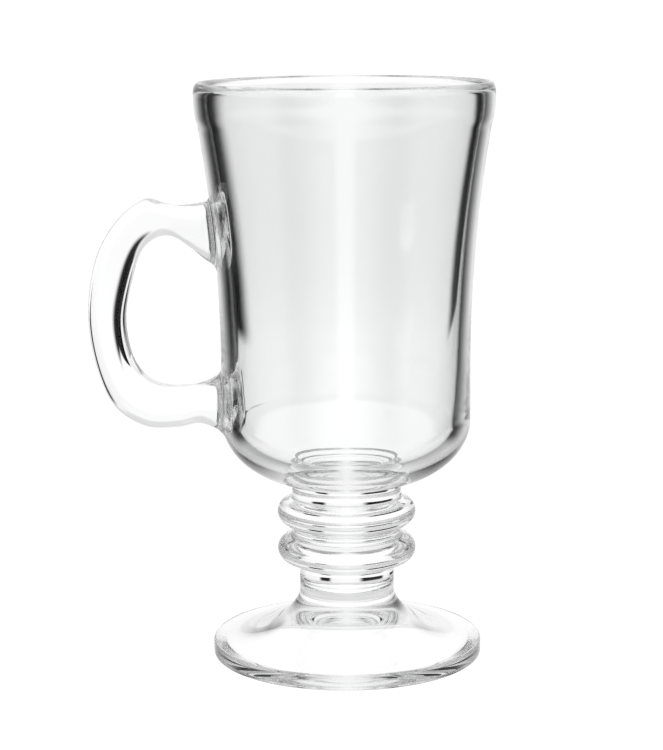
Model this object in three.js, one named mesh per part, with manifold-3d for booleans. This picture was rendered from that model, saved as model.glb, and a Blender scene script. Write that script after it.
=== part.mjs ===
// A footed coffee mug of clear pressed glass, in millimetres, +Z up.
// The origin is the middle of the whole footprint, bowl and handle, on the surface that the mug stands
// on. The handle points to -X, so the axis of the bowl, stem and foot stands at +X of the origin.
// Five gathers of glass are fused into one mug: bowl, handle, collar, stem and foot.
import * as THREE from "three";
import { mergeVertices } from "three/addons/utils/BufferGeometryUtils.js";
import Module from "manifold-3d";

const wasm = await Module();
wasm.setup();

// Driving dimensions of the bowl
const TOTAL_HEIGHT = 148;
const RIM_RADIUS = 38;
const RIM_WALL = 2.5;
const WAIST_RADIUS = 32;
const WAIST_HEIGHT = 78;
const FLARE_RATE = 1 / 700;
const LIP_START = 136;
const LIP_HEIGHT = 10.7;
const WALL_TAPER = 0.006;
const THICK_HEIGHT = 93;
const CORNER_HEIGHT = 61.9;
const CORNER_WIDTH = 24.1;
const CORNER_DEPTH = 17.1;
const CORNER_WALL = 4.0;
const FLOOR_HEIGHT = 49.8;
const FLOOR_CORNER_WIDTH = 19;

// Driving dimensions of the collar and the stem
const COLLAR_RADIUS = 14.5;
const COLLAR_WAIST = 0.35;
const STEM_TOP = 41.3;
const STEM_BOTTOM = 16.6;
const NECK_RADIUS = 12.3;
const KNOP_HEIGHTS = [27.8, 37.6];
const KNOP_RING_RADIUS = 13.7;
const KNOP_BULGE = 4.25;
const KNOP_HALF_HEIGHT = 3.6;
const KNOP_SPAN = 75;
const KNOP_FILLET = 0.8;
const VALLEY_RADIUS = 14;

// Driving dimensions of the foot
const FOOT_RADIUS = 34.9;
const FOOT_EDGE = 4.1;
const FOOT_EDGE_ROUND = 0.7;
const FOOT_EDGE_SPAN = 75;
const RESTING_RING = 3.2;
const DOME_HEIGHT = 10.2;
const DOME_PULLS = [[12, DOME_HEIGHT], [18, 1.6]];
const FLARE_PULLS = [[22.5, 7.0], [13.2, 9.6]];

// Driving dimensions of the handle, measured from the bowl's axis. Each station pairs a point of its
// outer outline with the one that faces it on the inner outline, both as x and z in the plane y = 0,
// with the width across. The reach is its outermost x.
const HANDLE_REACH = 65.5;
const HANDLE_STATIONS = [
  { outer: [-29.5, 119.6], inner: [-29.5, 101.0], width: 14.0 },
  { outer: [-35.4, 117.9], inner: [-34.2, 102.6], width: 13.2 },
  { outer: [-41.4, 116.9], inner: [-38.8, 106.3], width: 12.2 },
  { outer: [-46.0, 117.5], inner: [-43.4, 109.3], width: 11.6 },
  { outer: [-51.0, 118.5], inner: [-47.6, 109.1], width: 11.4 },
  { outer: [-57.6, 113.8], inner: [-51.6, 105.7], width: 11.4 },
  { outer: [-63.2, 104.2], inner: [-54.2, 98.8], width: 11.4 },
  { outer: [-HANDLE_REACH, 90.5], inner: [-56.2, 88.6], width: 11.4 },
  { outer: [-63.9, 77.2], inner: [-55.0, 79.2], width: 11.4 },
  { outer: [-59.4, 66.2], inner: [-51.6, 73.4], width: 11.4 },
  { outer: [-51.6, 60.8], inner: [-46.6, 70.9], width: 11.6 },
  { outer: [-43.6, 60.4], inner: [-41.0, 70.6], width: 12.0 },
  { outer: [-36.8, 61.4], inner: [-35.8, 71.6], width: 12.8 },
  { outer: [-29.5, 58.0], inner: [-29.5, 75.6], width: 13.6 },
];
const HANDLE_SQUARENESS = 2.5;
const WELD_GAP = 0.3;

// Tints of the glass, which is a little greyer where it is solid
const SHELL_TINT = 0xf3f7f6;
const SOLID_TINT = 0xeef3f2;

// Fineness of the facets
const AROUND = 48;
const CORNER_STEPS = 11;
const WALL_STEPS = 9;
const LIP_STEPS = 3;
const RIM_STEPS = 8;
const COLLAR_STEPS = 6;
const KNOP_STEPS = 11;
const VALLEY_STEPS = 4;
const DOME_STEPS = 12;
const FOOT_EDGE_STEPS = 3;
const FLARE_STEPS = 15;
const HANDLE_RINGS = 44;
const HANDLE_SIDES = 20;
const MERGE_WITHIN = 1e-4;

// Clear glass, as the photo shows it
function clearGlass(tint) {
  return new THREE.MeshStandardMaterial({
    color: tint, roughness: 0.03, metalness: 0, transparent: true, opacity: 0.35,
  });
}

const { degToRad, radToDeg } = THREE.MathUtils;
const point = (r, z) => new THREE.Vector2(r, z);

// Points of an elliptical arc in a profile, with its angles in degrees
function arc(r, z, halfWidth, halfHeight, from, to, steps) {
  return Array.from({ length: steps + 1 }, (_, i) => {
    const angle = degToRad(from + ((to - from) * i) / steps);
    return point(r + halfWidth * Math.cos(angle), z + halfHeight * Math.sin(angle));
  });
}

function bezier(start, pull1, pull2, end, steps) {
  return new THREE.CubicBezierCurve(start, pull1, pull2, end).getPoints(steps);
}

// A closed body of revolution about +Z. Its profile runs from the axis out, up and back to the axis.
function revolve(profile) {
  return new THREE.LatheGeometry(profile, AROUND).rotateX(Math.PI / 2);
}

// The outer wall is straight up to the waist, and widens from there as a parabola.
const outerRadius = (z) => WAIST_RADIUS + FLARE_RATE * Math.max(0, z - WAIST_HEIGHT) ** 2;

// The glass thickens a little from the rim down, and faster below the waist.
function wallThickness(z) {
  const steady = RIM_WALL + WALL_TAPER * (LIP_START - z);
  const sunk = Math.max(0, THICK_HEIGHT - z) / (THICK_HEIGHT - CORNER_HEIGHT);
  const steadyAtCorner = RIM_WALL + WALL_TAPER * (LIP_START - CORNER_HEIGHT);
  return steady + (CORNER_WALL - steadyAtCorner) * sunk ** 2;
}
const innerRadius = (z) => outerRadius(z) - wallThickness(z);

// Heights of the wall's points, from just above the corner to the start of the lip
const wallHeights = Array.from({ length: WALL_STEPS }, (_, i) =>
  CORNER_HEIGHT + ((LIP_START - CORNER_HEIGHT) * (i + 1)) / WALL_STEPS);

// The lip eases the flare upright again, up to the centre of the rounded rim.
function lip(wall) {
  const slope = 2 * FLARE_RATE * (LIP_START - WAIST_HEIGHT);
  const pull = LIP_HEIGHT / 3;
  const start = outerRadius(LIP_START) - wall;
  return bezier(
    point(start, LIP_START),
    point(start + slope * pull, LIP_START + pull),
    point(RIM_RADIUS - wall, LIP_START + pull),
    point(RIM_RADIUS - wall, LIP_START + LIP_HEIGHT),
    LIP_STEPS,
  ).slice(1);
}

// The rounded bottom is a quarter of an ellipse, which ends on the collar's edge.
const cornerCentre = WAIST_RADIUS - CORNER_WIDTH;
const weldAngle = radToDeg(Math.acos((COLLAR_RADIUS - cornerCentre) / CORNER_WIDTH));
const bowlBase = CORNER_HEIGHT - CORNER_DEPTH * Math.sin(degToRad(weldAngle));

function bowlOutside(grow = 0) {
  const width = CORNER_WIDTH + grow;
  const depth = CORNER_DEPTH + grow;
  const corner = arc(cornerCentre, CORNER_HEIGHT, width, depth, -weldAngle, 0, CORNER_STEPS);
  const wall = wallHeights.map((z) => point(outerRadius(z) + grow, z));
  return [...corner, ...wall];
}

function makeBowl() {
  const rimCentre = LIP_START + LIP_HEIGHT;
  const rimHalf = RIM_WALL / 2;
  const rim = arc(RIM_RADIUS - rimHalf, rimCentre, rimHalf, TOTAL_HEIGHT - rimCentre, 0, 180, RIM_STEPS);
  const inside = [CORNER_HEIGHT, ...wallHeights].reverse().map((z) => point(innerRadius(z), z));
  const floorCentre = innerRadius(CORNER_HEIGHT) - FLOOR_CORNER_WIDTH;
  const floorDepth = CORNER_HEIGHT - FLOOR_HEIGHT;
  const floor = arc(floorCentre, CORNER_HEIGHT, FLOOR_CORNER_WIDTH, floorDepth, 0, -90, CORNER_STEPS);
  return revolve([
    point(0, bowlBase), ...bowlOutside(), ...lip(0), ...rim.slice(1, -1),
    ...lip(RIM_WALL).reverse(), ...inside, ...floor.slice(1), point(0, FLOOR_HEIGHT),
  ]);
}

// A short disc whose edge is drawn in a little between its two creases
function makeCollar() {
  const half = (bowlBase - STEM_TOP) / 2;
  const edge = arc(COLLAR_RADIUS, STEM_TOP + half, -COLLAR_WAIST, half, -90, 90, COLLAR_STEPS);
  return revolve([point(0, STEM_TOP), ...edge, point(0, bowlBase)]);
}

// A ring knop's outline bulges as an ellipse that stops short of its own creases.
function knop(height) {
  return arc(KNOP_RING_RADIUS, height, KNOP_BULGE, KNOP_HALF_HEIGHT, -KNOP_SPAN, KNOP_SPAN, KNOP_STEPS);
}

// The hollow between the knops is an arc from the edge of one to the edge of the other.
function valley(from, to) {
  const half = (to.y - from.y) / 2;
  const depth = from.x - VALLEY_RADIUS;
  const round = (half ** 2 + depth ** 2) / (2 * depth);
  const span = radToDeg(Math.asin(half / round));
  const centre = VALLEY_RADIUS + round;
  return arc(centre, from.y + half, -round, round, -span, span, VALLEY_STEPS).slice(1, -1);
}

// A neck and two ring knops, with a small fillet where the neck meets the lower one
function makeStem() {
  const [lower, upper] = KNOP_HEIGHTS.map(knop);
  const knopFoot = lower[0].y;
  const neck = [
    point(NECK_RADIUS, STEM_BOTTOM),
    point(NECK_RADIUS, knopFoot - 2 * KNOP_FILLET),
    point(NECK_RADIUS + KNOP_FILLET / 2, knopFoot - KNOP_FILLET / 2),
  ];
  const hollow = valley(lower[lower.length - 1], upper[0]);
  const top = [point(COLLAR_RADIUS, STEM_TOP), point(0, STEM_TOP)];
  return revolve([point(0, STEM_BOTTOM), ...neck, ...lower, ...hollow, ...upper, ...top]);
}

// A disc that stands on a narrow flat ring, domed beneath, with a flare that rises to the neck
function makeFoot() {
  const round = FOOT_EDGE_ROUND;
  const edge = FOOT_RADIUS - round;
  const pulls = (pairs) => pairs.map(([r, z]) => point(r, z));
  const restingEdge = point(edge - RESTING_RING, 0);
  const dome = bezier(point(0, DOME_HEIGHT), ...pulls(DOME_PULLS), restingEdge, DOME_STEPS);
  const lowerEdge = arc(edge, round, round, round, -90, 0, FOOT_EDGE_STEPS);
  const upperEdge = arc(edge, FOOT_EDGE - round, round, round, 0, FOOT_EDGE_SPAN, FOOT_EDGE_STEPS);
  const flareStart = upperEdge.pop();
  const flare = bezier(flareStart, ...pulls(FLARE_PULLS), point(NECK_RADIUS, STEM_BOTTOM), FLARE_STEPS);
  return revolve([...dome, ...lowerEdge, ...upperEdge, ...flare, point(0, STEM_BOTTOM)]);
}

// The handle is lofted between two rails, its outer and its inner outline. Each ring spans the rails
// with a rounded oval whose width across is read from a third curve along the same stations.
function handleLoft() {
  const rail = (pick) => new THREE.CatmullRomCurve3(HANDLE_STATIONS.map(pick), false, "catmullrom", 0.5);
  const outer = rail(({ outer: [x, z] }) => new THREE.Vector3(x, 0, z));
  const inner = rail(({ inner: [x, z] }) => new THREE.Vector3(x, 0, z));
  const widths = rail(({ width }, i) => new THREE.Vector3(i, width, 0));
  const rounded = (v) => Math.sign(v) * Math.abs(v) ** (2 / HANDLE_SQUARENESS);
  const positions = [];
  const index = [];
  for (let ring = 0; ring <= HANDLE_RINGS; ring++) {
    const t = ring / HANDLE_RINGS;
    const out = outer.getPoint(t);
    const inn = inner.getPoint(t);
    const centre = out.clone().add(inn).multiplyScalar(0.5);
    const reach = out.clone().sub(inn).multiplyScalar(0.5);
    const halfWidth = widths.getPoint(t).y / 2;
    for (let side = 0; side < HANDLE_SIDES; side++) {
      const angle = (2 * Math.PI * side) / HANDLE_SIDES;
      const p = centre.clone().addScaledVector(reach, rounded(Math.cos(angle)));
      positions.push(p.x, halfWidth * rounded(Math.sin(angle)), p.z);
    }
  }
  for (let ring = 0; ring < HANDLE_RINGS; ring++) {
    for (let side = 0; side < HANDLE_SIDES; side++) {
      const a = ring * HANDLE_SIDES + side;
      const b = ring * HANDLE_SIDES + ((side + 1) % HANDLE_SIDES);
      index.push(a, b, a + HANDLE_SIDES, b, b + HANDLE_SIDES, a + HANDLE_SIDES);
    }
  }
  const last = HANDLE_RINGS * HANDLE_SIDES;
  for (let side = 1; side < HANDLE_SIDES - 1; side++) {
    index.push(0, side + 1, side);
    index.push(last, last + side, last + side + 1);
  }
  const geometry = new THREE.BufferGeometry();
  geometry.setAttribute("position", new THREE.Float32BufferAttribute(positions, 3));
  geometry.setIndex(index);
  return geometry;
}

function toSolid(geometry) {
  const bare = geometry.clone();
  bare.deleteAttribute("normal");
  bare.deleteAttribute("uv");
  const merged = mergeVertices(bare, MERGE_WITHIN);
  return new wasm.Manifold(new wasm.Mesh({
    numProp: 3,
    vertProperties: new Float32Array(merged.attributes.position.array),
    triVerts: new Uint32Array(merged.index.array),
  }));
}

function toGeometry(solid) {
  const mesh = solid.getMesh();
  const geometry = new THREE.BufferGeometry();
  geometry.setAttribute("position", new THREE.BufferAttribute(new Float32Array(mesh.vertProperties), 3));
  geometry.setIndex(new THREE.BufferAttribute(new Uint32Array(mesh.triVerts), 1));
  geometry.computeVertexNormals();
  return geometry;
}

// The roots are cut to the bowl's own curve, so that they seat on its wall all round.
function makeHandle() {
  const form = bowlOutside(WELD_GAP);
  const seat = revolve([point(0, form[0].y), ...form, point(0, form[form.length - 1].y)]);
  return toGeometry(toSolid(handleLoft()).subtract(toSolid(seat)));
}

const group = new THREE.Group();
group.name = "irish_coffee_mug";
group.position.x = (HANDLE_REACH - RIM_RADIUS) / 2;

const pieces = {
  bowl: [makeBowl(), SHELL_TINT],
  handle: [makeHandle(), SHELL_TINT],
  collar: [makeCollar(), SOLID_TINT],
  stem: [makeStem(), SOLID_TINT],
  foot: [makeFoot(), SOLID_TINT],
};
for (const [name, [geometry, tint]] of Object.entries(pieces)) {
  const mesh = new THREE.Mesh(geometry, clearGlass(tint));
  mesh.name = name;
  group.add(mesh);
}

export default group;
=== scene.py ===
# %% [markdown]
# # A footed coffee mug of clear pressed glass
# The packed model is the fixed frame of this scene. It gives the real size and place of each piece of the
# mug: bowl, handle, collar, stem and foot. Each of them gets a finer surface here, in the same place, and
# the frame's own solid is hidden behind it.
# Clear glass has hardly any colour of its own. What a picture shows is how its curves bend the light of
# the room, so this lesson spends its care on smooth surfaces, on welds that let light pass, and on a
# studio with something worth bending.

# %% The frame
import math

import bmesh
import bpy
from mathutils import Matrix, Vector
from mathutils.geometry import delaunay_2d_cdt


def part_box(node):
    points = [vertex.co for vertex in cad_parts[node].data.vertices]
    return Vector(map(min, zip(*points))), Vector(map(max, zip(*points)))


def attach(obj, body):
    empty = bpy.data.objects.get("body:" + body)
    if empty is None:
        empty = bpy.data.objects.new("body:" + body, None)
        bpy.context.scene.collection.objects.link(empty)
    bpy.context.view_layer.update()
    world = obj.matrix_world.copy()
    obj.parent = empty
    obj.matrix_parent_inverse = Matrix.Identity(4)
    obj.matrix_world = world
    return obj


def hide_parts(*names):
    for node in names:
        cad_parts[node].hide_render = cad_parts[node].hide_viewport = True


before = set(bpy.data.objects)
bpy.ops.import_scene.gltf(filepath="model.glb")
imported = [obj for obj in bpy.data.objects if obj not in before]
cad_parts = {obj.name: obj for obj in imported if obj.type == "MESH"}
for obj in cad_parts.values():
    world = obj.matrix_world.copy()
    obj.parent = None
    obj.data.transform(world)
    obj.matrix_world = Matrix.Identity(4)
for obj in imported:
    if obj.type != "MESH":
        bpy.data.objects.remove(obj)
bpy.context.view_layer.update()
MM = 0.001

# %% [markdown]
# ## The camera
# The photograph was taken with a long lens from just above the rim, tilted down by ten degrees. Lens and
# place were found by fitting the mug's own circles, its rim, foot and knops, to the picture. A long lens
# keeps the verticals nearly straight. The place is given from the mug's own axis, which the foot's box
# tells, so the camera stays right when the model's origin moves.

# %% The camera
foot_low, foot_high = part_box("foot")
AXIS = Vector(((foot_low.x + foot_high.x) / 2, 0, 0))
PHOTO_LONG_SIDE = 750
FOCAL_PIXELS = 2151.1
SENSOR = 36
CAMERA_BACK = 543.6 * MM
CAMERA_HEIGHT = 172.7 * MM
CAMERA_PITCH = math.radians(10.376)
CAMERA_YAW = math.radians(0.388)
CAMERA_ROLL = math.radians(-0.371)

camera_data = bpy.data.cameras.new("camera")
camera_data.sensor_width = SENSOR
camera_data.lens = FOCAL_PIXELS * SENSOR / PHOTO_LONG_SIDE
camera = bpy.data.objects.new("camera", camera_data)
bpy.context.collection.objects.link(camera)
aim = (
    Matrix.Rotation(CAMERA_YAW, 4, "Z")
    @ Matrix.Rotation(math.pi / 2 - CAMERA_PITCH, 4, "X")
    @ Matrix.Rotation(CAMERA_ROLL, 4, "Z")
)
camera.matrix_world = Matrix.Translation(AXIS + Vector((0, -CAMERA_BACK, CAMERA_HEIGHT))) @ aim
bpy.context.scene.camera = camera
print("lens", round(camera_data.lens, 1), "mm")

# %% [markdown]
# ## The studio: a bright field with dark edges
# Clear glass on white would vanish if the whole room were white. A glass photographer puts the mug on a
# white table in front of a white wall and hangs black cards just outside the picture. Light that passes
# straight through the glass comes from the wall. Light that the edges of the glass bend comes from the
# cards, and draws the dark outlines.
# A world shader makes the room, because nothing in it is near enough to need a mesh. These are its
# measures, with turns and heights in degrees. A pair is the middle and the width of a soft step. A triple
# is the two ends of a range and the width of its soft edges.

# %% The room's measures
ROOM_WHITE = 1.04
WALL_WHITE = 1.0
TABLE_WHITE = 1.07
ROOM_REPEATS = 180
FLANK_TURN = 90
LEFT_CARD = (11.8, 37, 6)
RIGHT_CARD = (14.0, 24, 4)
FLANK_CARDS = (12, 36, 6)
CARD_LOW = (-12, 1.5)
CARD_HIGH = (5, 6)
RIGHT_SLANT = 0.36
LEFT_SLANT = 0.6
LEFT_SINK_FROM = 18
LOW_WALL = (-9, 6)
HIGH_WALL = (8, 6)
HIGH_WHITE = 0.8
STRIP_LEFT = (20, 36)
STRIP_RIGHT = (29, 38)
STRIP_LOWEST = -5
MIRROR_WHITE = 0.95
MIRROR_BLACK = 0.02
MIRROR_DIM = 0.45
MIRROR_FLOOR = 0.5
MIRROR_CEILING = 0.85
DIM_TURN = (56, 16)
SIDE_HEIGHTS = (-26, 20, 12)
WITHIN = 0.03
WITHIN_CROSSINGS = 2
WITHIN_TURN = (9, 8)
WITHIN_HEIGHTS = (-15, 15, 6)
print("cards", LEFT_CARD[:2], "degrees left,", RIGHT_CARD[:2], "right,", FLANK_CARDS[:2], "round the flanks")

# %% [markdown]
# ## A helper for node trees
# The world, the materials and the lathe below are all trees of nodes. In the editor they would be laid out
# by hand. In a script each node takes several lines, so this small class adds one, fills its inputs with
# values or links, and hands back its result.

# %% A helper for node trees
class Tree:
    """Adds nodes to a tree and links what they are given."""

    def __init__(self, tree):
        self.tree = tree

    def node(self, kind, inputs=None, **settings):
        """Adds a node. An input that is given a socket is linked to it, and any other takes the value."""
        made = self.tree.nodes.new(kind)
        for name, value in settings.items():
            setattr(made, name, value)
        for key, value in (inputs or {}).items():
            if isinstance(value, bpy.types.NodeSocket):
                self.tree.links.new(value, made.inputs[key])
            else:
                made.inputs[key].default_value = value
        return made

    def math(self, operation, *values):
        return self.node("ShaderNodeMath", dict(enumerate(values)), operation=operation).outputs[0]

    def mix(self, share, first, second):
        return self.node("ShaderNodeMix", {"Factor": share, "A": first, "B": second}).outputs[0]

    def smooth(self, value, middle, width):
        """Rises from 0 to 1 round the middle."""
        inputs = {"Value": value, "From Min": middle - width / 2, "From Max": middle + width / 2}
        return self.node("ShaderNodeMapRange", inputs, interpolation_type="SMOOTHSTEP").outputs[0]

    def between(self, value, low, high, edge):
        """One between two values, zero outside them, with soft edges."""
        return self.math("SUBTRACT", self.smooth(value, low, edge), self.smooth(value, high, edge))

    def past(self, value, start):
        """How far a value lies past the start, and zero before it."""
        return self.math("MAXIMUM", self.math("SUBTRACT", value, start), 0)

    def near_each(self, turn, every):
        """The turn from the nearest multiple."""
        return self.math("WRAP", turn, every / 2, -every / 2)

    def direction(self, vector):
        """The direction's turn from the back of the room, to the right, and its height, in degrees."""
        unit = self.node("ShaderNodeVectorMath", {0: vector}, operation="NORMALIZE").outputs[0]
        x, y, z = self.node("ShaderNodeSeparateXYZ", {0: unit}).outputs
        turn = self.math("DEGREES", self.math("ARCTAN2", x, y))
        return turn, self.math("DEGREES", self.math("ARCSINE", z))


print("a Tree can make", [name for name in vars(Tree) if not name.startswith("_")])

# %% [markdown]
# ## The room behind the glass
# Light that was only bent on its way sees this room. One black card hangs to the left of the mug and one
# to the right, and their inner edges say where the dark bands in the bowl begin. Their low edges slant, as
# the lower ends of the bands do. The room is the same in front as behind, and more cards hang round both
# flanks, so the mug has dark edges from every side. An opening stays about every 45 degrees, because a card
# straight behind the mug would show through it as a black block.

# %% The room behind the glass
def seen_through(t, turn, height):
    """White walls with black cards between the openings."""
    aside = t.near_each(turn, ROOM_REPEATS)
    to_left = t.math("MULTIPLY", aside, -1)
    from_flank = t.math("ABSOLUTE", t.near_each(t.math("ADD", turn, FLANK_TURN), ROOM_REPEATS))
    left = t.between(to_left, *LEFT_CARD)
    right = t.between(aside, *RIGHT_CARD)
    flank = t.between(from_flank, *FLANK_CARDS)
    row = t.math("MAXIMUM", left, t.math("MAXIMUM", right, flank))
    rise = t.math("MULTIPLY", t.past(aside, RIGHT_CARD[0]), RIGHT_SLANT)
    sink = t.math("MULTIPLY", t.past(to_left, LEFT_SINK_FROM), LEFT_SLANT)
    above_low = t.smooth(t.math("ADD", t.math("SUBTRACT", height, rise), sink), *CARD_LOW)
    below_high = t.math("SUBTRACT", 1.0, t.smooth(height, *CARD_HIGH))
    card = t.math("MULTIPLY", row, t.math("MULTIPLY", above_low, below_high))
    upper_wall = t.mix(t.smooth(height, *HIGH_WALL), WALL_WHITE, HIGH_WHITE)
    wall = t.mix(t.smooth(height, *LOW_WALL), TABLE_WHITE, upper_wall)
    return t.math("MULTIPLY", wall, t.math("SUBTRACT", 1.0, card))


# %% [markdown]
# ## The room that mirrored light sees
# Light that was mirrored on its way draws the highlights, and it can come from anywhere. It sees a softer
# room: a bright strip in front and behind, which fades to black beside it and to a dim grey at the flanks.
# To the left the strip is a little wider below the horizon.
# Mirrored light that has also crossed more than two surfaces went through several layers of glass. Where
# it comes in level from the side, it is dimmed almost to nothing, which deepens the dark lines.

# %% The room that mirrored light sees
def mirrored(t, turn, height, crossings):
    """A bright strip with dark sides."""
    aside = t.near_each(turn, ROOM_REPEATS)
    away = t.math("ABSOLUTE", aside)
    below = t.math("MINIMUM", t.math("MAXIMUM", height, STRIP_LOWEST), 0)
    off_left = t.smooth(t.math("ADD", away, below), *STRIP_LEFT)
    off_right = t.smooth(away, *STRIP_RIGHT)
    off_strip = t.mix(t.math("GREATER_THAN", aside, 0), off_left, off_right)
    dim = t.mix(t.smooth(away, *DIM_TURN), MIRROR_BLACK, MIRROR_DIM)
    far = t.mix(t.math("GREATER_THAN", height, 0), MIRROR_FLOOR, MIRROR_CEILING)
    side = t.mix(t.between(height, *SIDE_HEIGHTS), far, dim)
    level = t.math("MULTIPLY", t.smooth(away, *WITHIN_TURN), t.between(height, *WITHIN_HEIGHTS))
    within = t.math("MULTIPLY", t.math("GREATER_THAN", crossings, WITHIN_CROSSINGS), level)
    return t.math("MULTIPLY", t.mix(off_strip, MIRROR_WHITE, side), t.mix(within, 1.0, WITHIN))


# %% [markdown]
# ## The world
# The Light Path node tells how a ray has come so far. A count of glossy bounces above zero means that it
# was mirrored, and it sees the softer room. The camera itself sees plain white, so the cards never show
# beside the mug.

# %% The world
def make_world():
    world = bpy.data.worlds.new("studio")
    world.use_nodes = True
    world.node_tree.nodes.clear()
    t = Tree(world.node_tree)
    turn, height = t.direction(t.node("ShaderNodeTexCoord").outputs["Generated"])
    rays = t.node("ShaderNodeLightPath").outputs
    was_mirrored = t.math("GREATER_THAN", rays["Glossy Depth"], 0)
    soft = mirrored(t, turn, height, rays["Transmission Depth"])
    light = t.mix(was_mirrored, seen_through(t, turn, height), soft)
    shown = t.mix(rays["Is Camera Ray"], light, ROOM_WHITE)
    back = t.node("ShaderNodeBackground", {"Color": (1, 1, 1, 1), "Strength": shown})
    t.node("ShaderNodeOutputWorld", {"Surface": back.outputs[0]})
    return world


bpy.context.scene.world = make_world()
print("world of", len(bpy.context.scene.world.node_tree.nodes), "nodes")

# %% [markdown]
# ## The table
# The white table top is the floor of the scene. It gives its own even light, so the mug throws no
# shadow. The camera sees it, and so does light that was only bent by the glass. For mirrored light its
# Alpha is zero, so that light goes on to the softer room.

# %% The table
TABLE_REACH = 220 * MM
TABLE_SIDES = 8


def make_table():
    material = bpy.data.materials.new("white_table")
    material.use_nodes = True
    shader = material.node_tree.nodes["Principled BSDF"]
    t = Tree(material.node_tree)
    shader.inputs["Base Color"].default_value = (0, 0, 0, 1)
    shader.inputs["Specular IOR Level"].default_value = 0.0
    shader.inputs["Emission Color"].default_value = (1, 1, 1, 1)
    shader.inputs["Emission Strength"].default_value = TABLE_WHITE
    was_mirrored = t.math("GREATER_THAN", t.node("ShaderNodeLightPath").outputs["Glossy Depth"], 0)
    t.tree.links.new(t.math("SUBTRACT", 1.0, was_mirrored), shader.inputs["Alpha"])
    mesh = bpy.data.meshes.new("table")
    corner = TABLE_REACH / math.cos(math.pi / TABLE_SIDES)
    turns = [(2 * side + 1) * math.pi / TABLE_SIDES for side in range(TABLE_SIDES)]
    points = [(AXIS.x + corner * math.cos(turn), corner * math.sin(turn), 0) for turn in turns]
    mesh.from_pydata(points, [], [range(TABLE_SIDES)])
    mesh.materials.append(material)
    table = bpy.data.objects.new("table", mesh)
    bpy.context.collection.objects.link(table)


make_table()
print("table", round(2 * TABLE_REACH / MM), "mm across")

# %% [markdown]
# ## The glass
# Soda-lime glass bends light by an index of 1.52 and swallows very little of it. A faint grey green in the
# base colour stands for that loss, taken once each time the light crosses a surface. Pressed glass is
# never quite flat: the iron mould leaves a slow swell, drawn here as noise in a Bump node.
# Where two pieces are fused there is no surface at all. Those faces still close each piece's mesh, so
# they get a weld material that is fully transparent.

# %% The glass
GLASS_TINT = (0.975, 0.979, 0.977, 1)
GLASS_INDEX = 1.52
GLASS_ROUGHNESS = 0.0
SWELL_PER_METRE = 90.0
SWELL_HEIGHT = 0.01 * MM


def make_glass():
    material = bpy.data.materials.new("clear_glass")
    material.use_nodes = True
    t = Tree(material.node_tree)
    place = t.node("ShaderNodeTexCoord").outputs["Object"]
    swell = t.node("ShaderNodeTexNoise", {"Vector": place, "Scale": SWELL_PER_METRE, "Detail": 1.0})
    bump = t.node("ShaderNodeBump", {"Height": swell.outputs[0], "Distance": SWELL_HEIGHT, "Strength": 1.0})
    shader = material.node_tree.nodes["Principled BSDF"]
    shader.inputs["Base Color"].default_value = GLASS_TINT
    shader.inputs["Roughness"].default_value = GLASS_ROUGHNESS
    shader.inputs["IOR"].default_value = GLASS_INDEX
    shader.inputs["Transmission Weight"].default_value = 1.0
    material.node_tree.links.new(bump.outputs[0], shader.inputs["Normal"])
    return material


def make_weld():
    material = bpy.data.materials.new("weld")
    material.use_nodes = True
    material.node_tree.nodes["Principled BSDF"].inputs["Alpha"].default_value = 0.0
    return material


glass = make_glass()
weld = make_weld()
print("materials", glass.name, "and", weld.name)

# %% [markdown]
# ## Light that passes many surfaces
# A ray that enters the foot can cross or mirror on dozens of surfaces before it leaves. Cycles stops at
# twelve by default and returns black, so the scene allows more. The standard view shows the white room as
# white, and a gamma below one deepens the middle greys, because the photograph has strong contrast.

# %% Bounces and colour
BOUNCES = 128
DISPLAY_GAMMA = 0.8
cycles = bpy.context.scene.cycles
cycles.max_bounces = BOUNCES
cycles.transmission_bounces = BOUNCES
cycles.glossy_bounces = BOUNCES
cycles.transparent_max_bounces = BOUNCES
bpy.context.scene.view_settings.view_transform = "Standard"
bpy.context.scene.view_settings.gamma = DISPLAY_GAMMA
print("bounces", cycles.max_bounces, "gamma", round(bpy.context.scene.view_settings.gamma, 2))

# %% [markdown]
# ## A lathe in Geometry Nodes
# Bowl, collar, stem and foot are bodies of revolution. A real maker presses them in moulds that were
# turned on a lathe, and here one node tree does the turning for all four. It takes a profile, which is a
# chain of points from the axis out and back to the axis, lays a grid of points round the axis, and reads
# each one's radius and height from the profile by its index.
# A profile point can carry the mark of a weld. A face is part of a flat disc that is fused to a neighbour
# only if all its corners carry the mark, so the mark's mean on a face has to be nearly one.

# %% The lathe tree
SEGMENTS = 256
MERGE_WITHIN = 0.001 * MM
WELD_MARK = "weld"
NEARLY_ALL = 0.75
LATHE_INPUTS = {
    "Profile": "NodeSocketGeometry",
    "Segments": "NodeSocketInt",
    "Axis": "NodeSocketVector",
    "Glass": "NodeSocketMaterial",
    "Weld": "NodeSocketMaterial",
}


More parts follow.
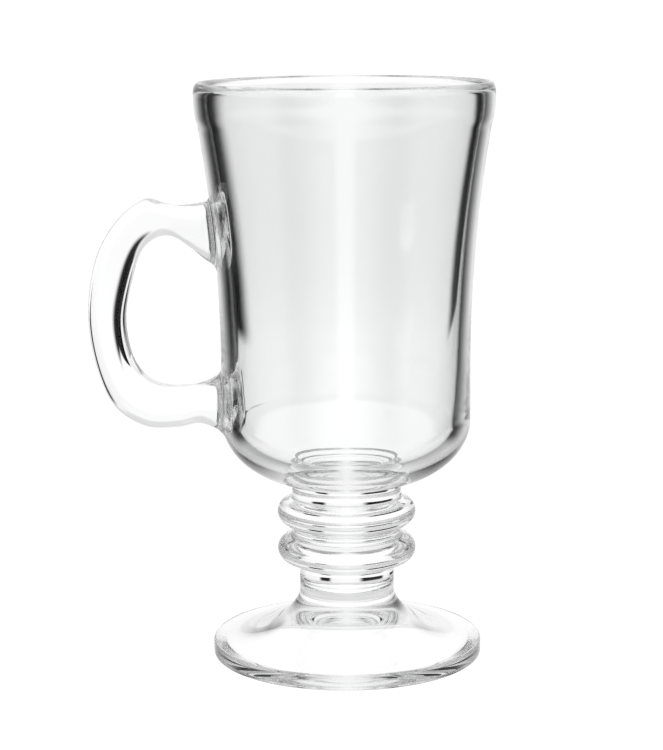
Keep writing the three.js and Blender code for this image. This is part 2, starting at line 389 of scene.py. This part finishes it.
def make_lathe_tree():
    tree = bpy.data.node_groups.new("lathe", "GeometryNodeTree")
    for name, kind in LATHE_INPUTS.items():
        tree.interface.new_socket(name, in_out="INPUT", socket_type=kind)
    tree.interface.new_socket("Body", in_out="OUTPUT", socket_type="NodeSocketGeometry")
    t = Tree(tree)
    given = t.node("NodeGroupInput").outputs
    profile = given["Profile"]
    count = t.node("GeometryNodeAttributeDomainSize", {0: profile}).outputs["Point Count"]
    rows = t.math("ADD", given["Segments"], 1)
    grid = t.node("GeometryNodeMeshGrid", {"Vertices X": rows, "Vertices Y": count}).outputs["Mesh"]
    index = t.node("GeometryNodeInputIndex").outputs[0]
    on_profile = t.math("MODULO", index, count)
    row = t.math("FLOOR", t.math("DIVIDE", index, count))
    turn = t.math("MULTIPLY", row, t.math("DIVIDE", 2 * math.pi, given["Segments"]))

    def read(value, kind):
        made = t.node("GeometryNodeSampleIndex", data_type=kind)
        tree.links.new(profile, made.inputs["Geometry"])
        tree.links.new(value, made.inputs["Value"])
        tree.links.new(on_profile, made.inputs["Index"])
        return made.outputs[0]

    spot = read(t.node("GeometryNodeInputPosition").outputs[0], "FLOAT_VECTOR")
    radius, _, height = t.node("ShaderNodeSeparateXYZ", {0: spot}).outputs
    across = t.math("MULTIPLY", radius, t.math("COSINE", turn))
    along = t.math("MULTIPLY", radius, t.math("SINE", turn))
    round_axis = t.node("ShaderNodeCombineXYZ", {0: across, 1: along, 2: height}).outputs[0]
    place = t.node("ShaderNodeVectorMath", {0: given["Axis"], 1: round_axis}, operation="ADD").outputs[0]
    body = t.node("GeometryNodeSetPosition", {"Geometry": grid, "Position": place}).outputs[0]
    mark = t.node("GeometryNodeInputNamedAttribute", {"Name": WELD_MARK}).outputs["Attribute"]
    store = t.node("GeometryNodeStoreNamedAttribute", {"Geometry": body, "Name": WELD_MARK})
    tree.links.new(read(mark, "FLOAT"), store.inputs["Value"])
    inputs = {"Geometry": store.outputs[0], "Distance": MERGE_WITHIN}
    body = t.node("GeometryNodeMergeByDistance", inputs).outputs[0]
    on_weld = t.math("GREATER_THAN", mark, NEARLY_ALL)
    smooth = t.math("SUBTRACT", 1.0, on_weld)
    body = t.node("GeometryNodeSetShadeSmooth", {"Geometry": body, "Shade Smooth": smooth}).outputs[0]
    body = t.node("GeometryNodeRealizeInstances", {"Geometry": body}).outputs[0]
    body = t.node("GeometryNodeSetMaterial", {"Geometry": body, "Material": given["Glass"]}).outputs[0]
    inputs = {"Geometry": body, "Selection": on_weld, "Material": given["Weld"]}
    body = t.node("GeometryNodeSetMaterial", inputs).outputs[0]
    t.node("NodeGroupOutput", {"Body": body})
    return tree


lathe_tree = make_lathe_tree()
print("lathe tree of", len(lathe_tree.nodes), "nodes, inputs", list(LATHE_INPUTS))

# %% [markdown]
# ## Profiles
# A profile is written in millimetres, as a drawing of the mug would be, and becomes a chain of edges that
# the lathe tree can read. Round stretches are ellipse arcs and Bezier curves, so a handful of dimensions
# describe the whole outline. The steps are small: glass shows every facet, because it bends light by its
# slope.

# %% Curves
def arc(r, z, half_width, half_height, start, end, steps):
    """Points of an ellipse arc round a centre, from one angle to another in degrees."""
    turns = [math.radians(start + (end - start) * i / steps) for i in range(steps + 1)]
    return [(r + half_width * math.cos(turn), z + half_height * math.sin(turn)) for turn in turns]


def bezier(points, steps):
    """Points of a cubic Bezier curve through tuples or vectors of any length."""
    a, b, c, d = (Vector(point) for point in points)
    turns = [i / steps for i in range(steps + 1)]
    return [a * (1 - t) ** 3 + b * 3 * t * (1 - t) ** 2 + c * 3 * t * t * (1 - t) + d * t**3 for t in turns]


# %% [markdown]
# ## From a profile to a finished piece
# The tree's result becomes a plain mesh and the modifier goes, because the frame and the export want plain
# meshes. Each mesh keeps two material slots in one order, glass first and weld second. Its faces are turned
# outward, and its open edges are counted. A closed body has none, and only in a closed body can the light
# tell whether it is inside the glass.

# %% From a profile to a finished piece
GLASS = 0
FUSED = 1


def keep_two_slots(mesh):
    """Leaves the slots GLASS and FUSED. The tree's result has an empty one before them."""
    names = [material.name if material else "" for material in mesh.materials]
    slots = [FUSED if names[face.material_index] == weld.name else GLASS for face in mesh.polygons]
    mesh.materials.clear()
    mesh.materials.append(glass)
    mesh.materials.append(weld)
    mesh.polygons.foreach_set("material_index", slots)


def open_edges(form):
    return sum(not edge.is_manifold for edge in form.edges)


def settle(made):
    """Turns the evaluated modifier into a plain mesh with its faces outward."""
    evaluated = made.evaluated_get(bpy.context.evaluated_depsgraph_get())
    mesh = bpy.data.meshes.new_from_object(evaluated)
    made.modifiers.clear()
    made.data = mesh
    keep_two_slots(mesh)
    form = bmesh.new()
    form.from_mesh(mesh)
    bmesh.ops.recalc_face_normals(form, faces=form.faces)
    volume = round(form.calc_volume() / MM**3)
    print(made.name, len(form.faces), "faces,", open_edges(form), "open edges,", volume, "mm3")
    form.to_mesh(mesh)
    form.free()
    return made


def turned(name, profile, welds):
    """Turns a profile in the lathe tree. welds holds the first index of each fused disc's edge."""
    mesh = bpy.data.meshes.new(name)
    points = [(r * MM, 0, z * MM) for r, z in profile]
    mesh.from_pydata(points, [(i, i + 1) for i in range(len(points) - 1)], [])
    welded = {first + step for first in welds for step in (0, 1)}
    marks = [float(i in welded) for i in range(len(points))]
    mesh.attributes.new(WELD_MARK, "FLOAT", "POINT").data.foreach_set("value", marks)
    made = bpy.data.objects.new(name, mesh)
    bpy.context.collection.objects.link(made)
    modifier = made.modifiers.new("lathe", "NODES")
    modifier.node_group = lathe_tree
    sockets = {item.name: item.identifier for item in lathe_tree.interface.items_tree}
    values = {"Segments": SEGMENTS, "Axis": AXIS, "Glass": glass, "Weld": weld}
    for socket, value in values.items():
        modifier[sockets[socket]] = value
    return settle(made)


def finish_piece(piece, node):
    """The piece stands for its node, whose own part is hidden, and moves with the mug."""
    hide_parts(node)
    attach(piece, "root")


# %% [markdown]
# ## The collar
# The collar is the button of glass that joins bowl and stem, the place where the hot gathers meet. It is
# about four millimetres tall, and its edge is drawn in by a third of a millimetre. The photograph shows it
# only as two level lines with a band between them, so that waist is a guess.

# %% The collar
bowl_low, bowl_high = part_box("bowl")
BOWL_BASE = bowl_low.z / MM
STEM_TOP = 41.3
COLLAR_RADIUS = 14.5
COLLAR_WAIST = 0.35
COLLAR_STEPS = 24


def make_collar():
    half = (BOWL_BASE - STEM_TOP) / 2
    edge = arc(COLLAR_RADIUS, STEM_TOP + half, -COLLAR_WAIST, half, -90, 90, COLLAR_STEPS)
    profile = [(0, STEM_TOP), *edge, (0, BOWL_BASE)]
    return turned("collar_glass", profile, welds=(0, len(profile) - 2))


finish_piece(make_collar(), "collar")

# %% [markdown]
# ## The stem
# The stem is solid: a short neck and two ring knops that give the fingers a grip when the bowl is hot. Each
# knop is an ellipse arc, the valley between them is a circle's arc from one to the other, and a small
# fillet leads from the neck to the lower one.

# %% The stem
STEM_BOTTOM = 16.6
NECK_RADIUS = 12.3
KNOP_HEIGHTS = (27.8, 37.6)
KNOP_RING_RADIUS = 13.7
KNOP_BULGE = 4.25
KNOP_HALF_HEIGHT = 3.6
KNOP_SPAN = 75
KNOP_STEPS = 36
KNOP_FILLET = 0.8
KNOP_FILLET_PULL = 1.5
KNOP_FILLET_STEPS = 12
VALLEY_RADIUS = 14.0
VALLEY_STEPS = 12


def make_valley(start, end):
    """The arc from the lower knop's top to the upper knop's foot, without its ends."""
    half = (end[1] - start[1]) / 2
    depth = start[0] - VALLEY_RADIUS
    curve = (half**2 + depth**2) / (2 * depth)
    span = math.degrees(math.asin(half / curve))
    return arc(VALLEY_RADIUS + curve, start[1] + half, -curve, curve, -span, span, VALLEY_STEPS)[1:-1]


def make_stem():
    lower, upper = [
        arc(KNOP_RING_RADIUS, height, KNOP_BULGE, KNOP_HALF_HEIGHT, -KNOP_SPAN, KNOP_SPAN, KNOP_STEPS)
        for height in KNOP_HEIGHTS
    ]
    knop_edge, knop_foot = lower[0]
    neck_middle = (NECK_RADIUS, (STEM_BOTTOM + knop_foot) / 2 - KNOP_FILLET)
    fillet_points = [
        (NECK_RADIUS, knop_foot - 2 * KNOP_FILLET),
        (NECK_RADIUS, knop_foot - KNOP_FILLET / 2),
        (knop_edge - KNOP_FILLET_PULL, knop_foot - KNOP_FILLET / 4),
        lower[0],
    ]
    neck = [(NECK_RADIUS, STEM_BOTTOM), neck_middle, *bezier(fillet_points, KNOP_FILLET_STEPS)[:-1]]
    knops = [*lower, *make_valley(lower[-1], upper[0]), *upper]
    profile = [(0, STEM_BOTTOM), *neck, *knops, (COLLAR_RADIUS, STEM_TOP), (0, STEM_TOP)]
    return turned("stem_glass", profile, welds=(0, len(profile) - 2))


finish_piece(make_stem(), "stem")

# %% [markdown]
# ## The foot
# The foot is a disc that flares up to the neck. It is domed beneath, so that it stands on a narrow ring
# and doesn't rock. Two Bezier curves draw the dome and the flare, and two small arcs round its edge.

# %% The foot
FOOT_RADIUS = (foot_high.x - foot_low.x) / 2 / MM
FOOT_EDGE = 4.1
FOOT_EDGE_ROUND = 0.7
FOOT_EDGE_SPAN = 75
FOOT_EDGE_STEPS = 10
RESTING_RING = 3.2
DOME_HEIGHT = 10.2
DOME_PULLS = [(12, DOME_HEIGHT), (18, 1.6)]
DOME_STEPS = 72
FLARE_PULLS = [(22.5, 7.0), (13.2, 9.6)]
FLARE_STEPS = 96


def foot_edge(z, start, end):
    """The rounding of the edge at one height, from one angle to another."""
    centre = FOOT_RADIUS - FOOT_EDGE_ROUND
    return arc(centre, z, FOOT_EDGE_ROUND, FOOT_EDGE_ROUND, start, end, FOOT_EDGE_STEPS)


def make_foot():
    ring_inside = FOOT_RADIUS - FOOT_EDGE_ROUND - RESTING_RING
    dome = bezier([(0, DOME_HEIGHT), *DOME_PULLS, (ring_inside, 0)], DOME_STEPS)
    lower_edge = foot_edge(FOOT_EDGE_ROUND, -90, 0)
    upper_edge = foot_edge(FOOT_EDGE - FOOT_EDGE_ROUND, 0, FOOT_EDGE_SPAN)
    flare = bezier([upper_edge[-1], *FLARE_PULLS, (NECK_RADIUS, STEM_BOTTOM)], FLARE_STEPS)
    profile = [*dome, *lower_edge, *upper_edge[:-1], *flare, (0, STEM_BOTTOM)]
    return turned("foot_glass", profile, welds=(len(profile) - 2,))


finish_piece(make_foot(), "foot")

# %% [markdown]
# ## The bowl's outline
# The bowl is one shell. Outside, a quarter ellipse rounds its bottom, the wall stands straight to the
# waist and then opens as a parabola, and a short lip turns upright again. Inside, the wall thickens
# towards the bottom, because the plunger that presses it has to come out.

# %% The bowl's outline
TOTAL_HEIGHT = bowl_high.z / MM
RIM_RADIUS = (bowl_high.y - bowl_low.y) / 2 / MM
RIM_WALL = 2.5
WAIST_RADIUS = 32
WAIST_HEIGHT = 78
FLARE_RATE = 1 / 700
LIP_START = 136
WALL_TAPER = 0.006
THICK_HEIGHT = 93
CORNER_HEIGHT = 61.9
CORNER_WIDTH = 24.1
CORNER_DEPTH = 17.1
CORNER_CENTRE = WAIST_RADIUS - CORNER_WIDTH
CORNER_WALL = 4.0


def outer_radius(z):
    """The bowl's outer radius at a height, below the lip."""
    if z < CORNER_HEIGHT:
        return CORNER_CENTRE + CORNER_WIDTH * math.sqrt(1 - ((CORNER_HEIGHT - z) / CORNER_DEPTH) ** 2)
    return WAIST_RADIUS + FLARE_RATE * max(0, z - WAIST_HEIGHT) ** 2


def wall_thickness(z):
    """It grows evenly downward, and faster towards the corner."""
    steady = RIM_WALL + WALL_TAPER * (LIP_START - z)
    sunk = max(0, THICK_HEIGHT - z) / (THICK_HEIGHT - CORNER_HEIGHT)
    steady_at_corner = RIM_WALL + WALL_TAPER * (LIP_START - CORNER_HEIGHT)
    return steady + (CORNER_WALL - steady_at_corner) * sunk**2


for spot, z in (("lip", LIP_START), ("waist", WAIST_HEIGHT), ("corner", CORNER_HEIGHT)):
    print(spot, round(2 * outer_radius(z), 1), "mm across, wall", round(wall_thickness(z), 1), "mm")

# %% [markdown]
# ## Turning the bowl
# The profile goes up the outside, over the rounded rim and down the inside to the floor. The lip is a
# Bezier curve that leaves the flare along its slope and ends upright, and the rim over it is half an
# ellipse, as the glass is when a flame has melted its sharp edge.

# %% Turning the bowl
LIP_HEIGHT = 9.4
LIP_STEPS = 16
FLOOR_HEIGHT = 49.8
FLOOR_CORNER_WIDTH = 19
CORNER_STEPS = 44
WALL_STEPS = 92
RIM_STEPS = 28
FLOOR_STEPS = 56


def lip(wall):
    """The lip's line, drawn in by the wall's thickness."""
    slope = 2 * FLARE_RATE * (LIP_START - WAIST_HEIGHT)
    pull = LIP_HEIGHT / 3
    start = outer_radius(LIP_START) - wall
    top = RIM_RADIUS - wall
    points = [
        (start, LIP_START),
        (start + slope * pull, LIP_START + pull),
        (top, LIP_START + pull),
        (top, LIP_START + LIP_HEIGHT),
    ]
    return bezier(points, LIP_STEPS)[1:]


def make_bowl():
    weld_angle = math.degrees(math.acos((COLLAR_RADIUS - CORNER_CENTRE) / CORNER_WIDTH))
    corner = arc(CORNER_CENTRE, CORNER_HEIGHT, CORNER_WIDTH, CORNER_DEPTH, -weld_angle, 0, CORNER_STEPS)
    rise = LIP_START - CORNER_HEIGHT
    heights = [CORNER_HEIGHT + rise * (i + 1) / WALL_STEPS for i in range(WALL_STEPS)]
    wall = [(outer_radius(z), z) for z in heights]
    rim_centre = LIP_START + LIP_HEIGHT
    rim_half = RIM_WALL / 2
    rim = arc(RIM_RADIUS - rim_half, rim_centre, rim_half, TOTAL_HEIGHT - rim_centre, 0, 180, RIM_STEPS)
    inside = [(outer_radius(z) - wall_thickness(z), z) for z in [*reversed(heights), CORNER_HEIGHT]]
    floor_centre = inside[-1][0] - FLOOR_CORNER_WIDTH
    depth = CORNER_HEIGHT - FLOOR_HEIGHT
    floor = arc(floor_centre, CORNER_HEIGHT, FLOOR_CORNER_WIDTH, depth, 0, -90, FLOOR_STEPS)
    outside = [(0, BOWL_BASE), *corner, *wall, *lip(0), *rim[1:-1]]
    within = [*lip(RIM_WALL)[::-1], *inside, *floor[1:], (0, FLOOR_HEIGHT)]
    return turned("bowl_glass", outside + within, welds=(0,))


bowl = make_bowl()

# %% [markdown]
# ## The handle's lines
# The handle is a bar of glass lofted between two rails, its outer and inner outlines. On the real mug it
# is pressed with the bowl, so its sides run out into the wall in small fillets, with no seam between.
# Each station gives a point of the outer rail, one of the inner rail and the bar's width, in millimetres
# from the mug's axis. The section is a rounded square, a little squarer on its outer side.

# %% The handle's lines
HANDLE_REACH = 65.5
HANDLE_STATIONS = [
    ((-29.5, 119.6), (-29.5, 101.0), 14.0),
    ((-35.4, 117.9), (-34.2, 102.6), 13.2),
    ((-41.4, 116.9), (-38.8, 106.3), 12.2),
    ((-46.0, 117.5), (-43.4, 109.3), 11.6),
    ((-51.0, 118.5), (-47.6, 109.1), 11.4),
    ((-57.6, 113.8), (-51.6, 105.7), 11.4),
    ((-63.2, 104.2), (-54.2, 98.8), 11.4),
    ((-HANDLE_REACH, 90.5), (-56.2, 88.6), 11.4),
    ((-63.9, 77.2), (-55.0, 79.2), 11.4),
    ((-59.4, 66.2), (-51.6, 73.4), 11.4),
    ((-51.6, 60.8), (-46.6, 70.9), 11.6),
    ((-43.6, 60.4), (-41.0, 70.6), 12.0),
    ((-36.8, 61.4), (-35.8, 71.6), 12.8),
    ((-29.5, 58.0), (-29.5, 75.6), 13.6),
]
OUTER_SQUARENESS = 5.0
INNER_SQUARENESS = 3.5
HANDLE_SIDES = 80

outer_rail, inner_rail, width_rail = [
    [Vector(point) for point in points]
    for points in (
        [(x, 0, z) for (x, z), _, _ in HANDLE_STATIONS],
        [(x, 0, z) for _, (x, z), _ in HANDLE_STATIONS],
        [(width, 0) for _, _, width in HANDLE_STATIONS],
    )
]


def catmull_rom(points, t):
    """A point at t, from 0 to 1, on the curve through the points, as the frame's loft has it."""
    points = [2 * points[0] - points[1], *points, 2 * points[-1] - points[-2]]
    where = t * (len(points) - 3)
    i = min(int(where), len(points) - 4)
    u = where - i
    before, start, end, after = points[i : i + 4]
    leave = (end - before) / 2
    arrive = (after - start) / 2
    return (
        (2 * start - 2 * end + leave + arrive) * u**3
        + (3 * end - 3 * start - 2 * leave - arrive) * u**2
        + leave * u
        + start
    )


def on_bar(side, t):
    """A point of the bar, in millimetres from the mug's axis."""
    turn = 2 * math.pi * side / HANDLE_SIDES
    squareness = OUTER_SQUARENESS if math.cos(turn) > 0 else INNER_SQUARENESS
    parts = (math.cos(turn), math.sin(turn))
    across, along = [math.copysign(abs(part) ** (2 / squareness), part) for part in parts]
    outer = catmull_rom(outer_rail, t)
    inner = catmull_rom(inner_rail, t)
    half_width = catmull_rom(width_rail, t).x / 2
    return (outer + inner) / 2 + (outer - inner) / 2 * across + Vector((0, half_width * along, 0))


print("handle of", len(HANDLE_STATIONS), "stations and", HANDLE_SIDES, "lines")

# %% [markdown]
# ## Points on the bowl's wall
# A place on the wall is written as a pair: how far round it lies, in millimetres of arc from the line
# through the handle, and how high. Flattened like this, the wall can be cut and stitched as a sheet.
# Where a line of the bar meets the wall has no simple formula, so it is found by halving.

# %% The wall as a flat sheet
SHEET_RADIUS = WAIST_RADIUS
NUDGE = 0.01
HALVINGS = 40


def on_wall(place):
    """The point of the wall at a place."""
    along, z = place
    turn = along / SHEET_RADIUS
    radius = outer_radius(z)
    return Vector((-radius * math.cos(turn), radius * math.sin(turn), z))


def off_wall(point):
    """How far a point lies outside the wall. It is less than zero inside."""
    return math.hypot(point.x, point.y) - outer_radius(point.z)


def place_of(point):
    return Vector((SHEET_RADIUS * math.atan2(point.y, -point.x), point.z))


def wall_normal(point):
    flat = Vector((point.x, point.y, 0)).normalized()
    slope = (outer_radius(point.z + NUDGE) - outer_radius(point.z - NUDGE)) / (2 * NUDGE)
    return (flat - Vector((0, 0, slope))).normalized()


def meet_wall(side, inside, outside, distance):
    """Halves the stretch of a bar's line until the point at that distance from the wall is found."""
    for _ in range(HALVINGS):
        middle = (inside + outside) / 2
        if off_wall(on_bar(side, middle)) > distance:
            outside = middle
        else:
            inside = middle
    return middle


print("the bar begins", round(-off_wall(outer_rail[0]), 1), "mm inside the wall's outer face")

# %% [markdown]
# ## The two roots
# Each lengthwise line of the bar is followed until it comes near the wall. From there a Bezier curve
# carries it out until it lies in the bowl's own surface. The curves are the fillet, and their ends make a
# closed loop on the wall, which is the edge of the root. A Boolean would cut the same shapes together, but
# it would leave slivers where the fillet has to be smooth.

# %% The roots
FILLET_REACH = 1.8
FILLET_STEPS = 12
FILLET_FULLNESS = 0.6
UPPER_STRETCH = (0.0, 0.2)
LOWER_STRETCH = (1.0, 0.8)


def make_root(inside, outside):
    """The loop on the wall, the fillet's lines from the loop to the bar, and where they leave the bar."""
    crossings = [place_of(on_bar(side, meet_wall(side, inside, outside, 0))) for side in range(HANDLE_SIDES)]
    middle = sum(crossings, Vector((0, 0))) / HANDLE_SIDES
    loop, lines, leaves = [], [], []
    for side, here in enumerate(crossings):
        ahead = crossings[(side + 1) % HANDLE_SIDES] - crossings[side - 1]
        away = Vector((ahead.y, -ahead.x)).normalized()
        if away.dot(here - middle) < 0:
            away = -away
        landing = here + away * FILLET_REACH
        leave = meet_wall(side, inside, outside, FILLET_REACH)
        start = on_bar(side, leave)
        corner = on_wall(here)
        end = on_wall(landing)
        along_wall = (on_wall(landing - away * NUDGE) - end).normalized()
        pull = (corner - end).length * FILLET_FULLNESS
        curve = [end, end + along_wall * pull, start + (corner - start) * FILLET_FULLNESS, start]
        loop.append(landing)
        lines.append(bezier(curve, FILLET_STEPS))
        leaves.append(leave)
    return loop, lines, leaves


upper_root = make_root(*UPPER_STRETCH)
lower_root = make_root(*LOWER_STRETCH)
for name, (loop, _, _) in (("upper", upper_root), ("lower", lower_root)):
    sizes = [max(place[i] for place in loop) - min(place[i] for place in loop) for i in range(2)]
    print(name, "root", round(sizes[0], 1), "mm wide and", round(sizes[1], 1), "mm high")

# %% [markdown]
# ## A window in the wall
# The bowl's mesh has to know each root's loop exactly, or a hair of light would show between the two
# pieces. Round each root a window of the turned grid is taken out of the wall. Its border stays, and the
# grid's points inside it are used again where they don't crowd the loop.

# %% A window in the wall
WINDOW_MARGIN = 2.4
LOOK_AROUND = 1
ON_WALL = 0.02


def from_axis(place):
    """A point of the scene, in millimetres from the foot of the mug's axis."""
    return (place - AXIS) / MM


def in_scene(point):
    """The other way round: a point in millimetres from the axis, in the scene's metres."""
    return point * MM + AXIS


def window_faces(form, loop):
    """The faces of the turned grid that lie in a window round the loop."""
    low = [min(place[i] for place in loop) - WINDOW_MARGIN for i in range(2)]
    high = [max(place[i] for place in loop) + WINDOW_MARGIN for i in range(2)]

    def in_window(vert):
        point = from_axis(vert.co)
        if point.x > 0 or abs(off_wall(point)) > ON_WALL:
            return False
        place = place_of(point)
        return all(low[i] < place[i] < high[i] for i in range(2))

    near = [vert for vert in form.verts if low[1] - LOOK_AROUND < vert.co.z / MM < high[1] + LOOK_AROUND]
    within = {vert for vert in near if in_window(vert)}
    return {face for vert in within for face in vert.link_faces if within.issuperset(face.verts)}


def by_index(elements):
    """In a fixed order, so that each run stitches alike."""
    return sorted(elements, key=lambda element: element.index)


def window_border(faces):
    """The border's edges and vertices, and the vertices that lie inside it."""
    sides = {edge for face in faces for edge in face.edges}
    edges = by_index(edge for edge in sides if not faces.issuperset(edge.link_faces))
    rim = by_index({vert for edge in edges for vert in edge.verts})
    inner = by_index({vert for face in faces for vert in face.verts} - set(rim))
    return edges, rim, inner


# %% [markdown]
# ## Stitching the roots into the bowl
# The window is filled again by a Delaunay triangulation of the flat sheet, which is tied to the border and
# to the loop. Triangles inside the loop are the fused face, with the weld material. The handle is closed
# by the same triangles later.

# %% Stitching the roots into the bowl
KEEP_OFF = 0.3
INSIDE_TIES = 1
JOIN_WITHIN = 1e-7


def inside_loop(place, loop):
    """Counts the loop's edges to one side of a place: an odd count means that it lies inside."""
    crossed = False
    for a, b in zip(loop, [*loop[1:], loop[0]]):
        if (a.y > place.y) != (b.y > place.y):
            if place.x < a.x + (b.x - a.x) * (place.y - a.y) / (b.y - a.y):
                crossed = not crossed
    return crossed


def stitch(form, loop):
    """Cuts a window and fills it. Returns its places, where the loop begins in them, and what is fused."""
    faces = window_faces(form, loop)
    edges, rim, inner = window_border(faces)
    held = [place_of(from_axis(vert.co)) for vert in inner]
    clear = [place for place in held if min((place - spot).length for spot in loop) > KEEP_OFF]
    places = [place_of(from_axis(vert.co)) for vert in rim] + loop + clear
    first = len(rim)
    rank = {vert: i for i, vert in enumerate(rim)}
    ties = [tuple(rank[vert] for vert in edge.verts) for edge in edges]
    ties += [(first + i, first + (i + 1) % len(loop)) for i in range(len(loop))]
    bmesh.ops.delete(form, geom=list(faces), context="FACES")
    spots, _, triangles, origins, _, _ = delaunay_2d_cdt(places, ties, [], INSIDE_TIES, JOIN_WITHIN)
    assert len(spots) == len(places), "the triangulation added or joined points"
    verts = rim + [form.verts.new(in_scene(on_wall(place))) for place in places[first:]]
    fused = []
    for triangle in triangles:
        a, b, c = [origins[i][0] for i in triangle]
        face = form.faces.new((verts[a], verts[b], verts[c]))
        face.normal_update()
        middle = (places[a] + places[b] + places[c]) / 3
        if face.normal.dot(wall_normal(on_wall(middle))) < 0:
            face.normal_flip()
        if inside_loop(middle, loop):
            face.material_index = FUSED
            fused.append((a, b, c))
        else:
            face.material_index = GLASS
            face.smooth = True
    print("stitched", len(triangles), "triangles,", len(fused), "of them fused")
    return places, first, fused


form = bmesh.new()
form.from_mesh(bowl.data)
upper_patch = stitch(form, upper_root[0])
lower_patch = stitch(form, lower_root[0])
form.normal_update()
print("bowl with", open_edges(form), "open edges")
form.to_mesh(bowl.data)
form.free()

# %% [markdown]
# ## True normals on the wall
# The filled window has triangles of uneven shape, and normals averaged from them would shade the glass in
# patches. The wall is a known curve, so each corner on it is given the curve's own normal instead. Fused
# faces keep plain ones.

# %% True normals on the wall
def set_wall_normals(piece, is_on_wall):
    """Corners on the bowl's wall take the wall's true normal, whatever triangles meet there."""
    mesh = piece.data
    plain = Vector((0, 0, 0))
    normals = []
    for vert in mesh.vertices:
        point = from_axis(vert.co)
        normals.append(wall_normal(point) if is_on_wall(point) else plain)
    corners = []
    for face in mesh.polygons:
        corners += [plain if face.material_index == FUSED else normals[i] for i in face.vertices]
    mesh.normals_split_custom_set(corners)
    print(piece.name, "has", sum(normal != plain for normal in normals), "points on the wall")


def on_outer_wall(point):
    return BOWL_BASE - NUDGE < point.z < LIP_START and abs(off_wall(point)) < ON_WALL


set_wall_normals(bowl, on_outer_wall)
finish_piece(bowl, "bowl")

# %% [markdown]
# ## The handle
# The rows run from the upper loop through its fillet, round the bar and through the lower fillet to the
# lower loop. The bowl's own fused triangles close both ends, so bowl and handle share every point there.
# A swept curve would be simpler, but it wouldn't follow two rails or land on the loops.

# %% The handle
HANDLE_RINGS = 200
LANDED = ON_WALL / 10


def handle_rows():
    """The bar's rings, from the loop of the upper root to that of the lower one."""
    _, upper_lines, upper_leaves = upper_root
    _, lower_lines, lower_leaves = lower_root
    rows = [[line[step] for line in upper_lines] for step in range(FILLET_STEPS + 1)]
    for ring in range(1, HANDLE_RINGS):
        share = ring / HANDLE_RINGS
        ends = zip(upper_leaves, lower_leaves)
        rows.append([on_bar(side, start + (end - start) * share) for side, (start, end) in enumerate(ends)])
    rows += [[line[step] for line in lower_lines] for step in reversed(range(FILLET_STEPS + 1))]
    return rows


def close_end(form, ring, patch):
    """Closes an end of the bar with the bowl's fused triangles."""
    places, first, fused = patch
    made = {}
    for i in sorted({i for triangle in fused for i in triangle}):
        on_loop = 0 <= i - first < HANDLE_SIDES
        made[i] = ring[i - first] if on_loop else form.verts.new(in_scene(on_wall(places[i])))
    for triangle in fused:
        form.faces.new([made[i] for i in triangle]).material_index = FUSED


def make_handle():
    form = bmesh.new()
    grid = [[form.verts.new(in_scene(point)) for point in row] for row in handle_rows()]
    for row, after in zip(grid, grid[1:]):
        for side in range(HANDLE_SIDES):
            other = (side + 1) % HANDLE_SIDES
            form.faces.new((row[side], row[other], after[other], after[side])).smooth = True
    close_end(form, grid[0], upper_patch)
    close_end(form, grid[-1], lower_patch)
    bmesh.ops.recalc_face_normals(form, faces=form.faces)
    print("handle of", len(form.faces), "faces with", open_edges(form), "open edges")
    mesh = bpy.data.meshes.new("handle_glass")
    form.to_mesh(mesh)
    form.free()
    mesh.materials.append(glass)
    mesh.materials.append(weld)
    piece = bpy.data.objects.new("handle_glass", mesh)
    bpy.context.collection.objects.link(piece)
    return piece


def has_landed(point):
    """True for the ends of the fillets, which lie in the wall itself."""
    return abs(off_wall(point)) < LANDED


handle = make_handle()
set_wall_normals(handle, has_landed)
finish_piece(handle, "handle")

# %% The last update
bpy.context.view_layer.update()
